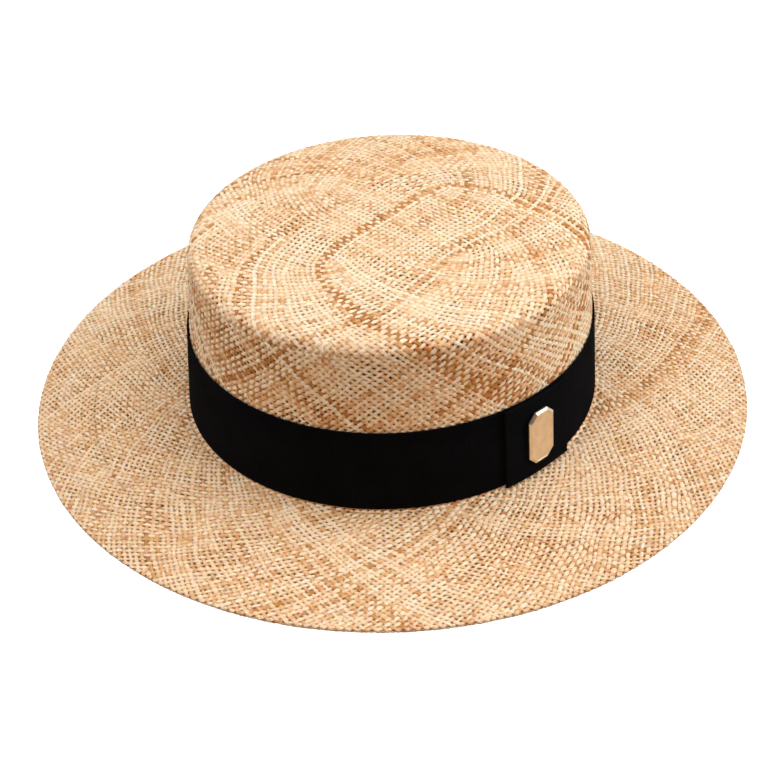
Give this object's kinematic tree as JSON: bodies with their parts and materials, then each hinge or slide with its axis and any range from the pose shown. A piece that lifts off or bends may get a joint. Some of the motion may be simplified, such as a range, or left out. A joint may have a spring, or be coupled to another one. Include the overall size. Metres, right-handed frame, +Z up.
{
  "type": "straw boater hat",
  "caption": "Woven straw hat with a flat round crown, a wide flat brim with a turned hem, a black ribbon band, a flat ribbon tab at the side and a plain metal plate on it.",
  "frame": {"origin": "on the surface that the hat rests on, below the middle of the crown", "axes": "+Z up through the crown, -Y towards the front of the hat, +X towards the wearer's left, where the ribbon tab is"},
  "size_m": [0.331, 0.337, 0.0915],
  "materials": {
    "straw": "natural woven straw, matt with a slight sheen",
    "ribbon": "black grosgrain, fine upright ribs",
    "plate": "polished pale gold"
  },
  "bodies": {
    "root": {"straw_body": "straw", "ribbon_band": "ribbon", "ribbon_keeper": "ribbon", "pin_plate": "plate"}
  },
  "joints": []
}
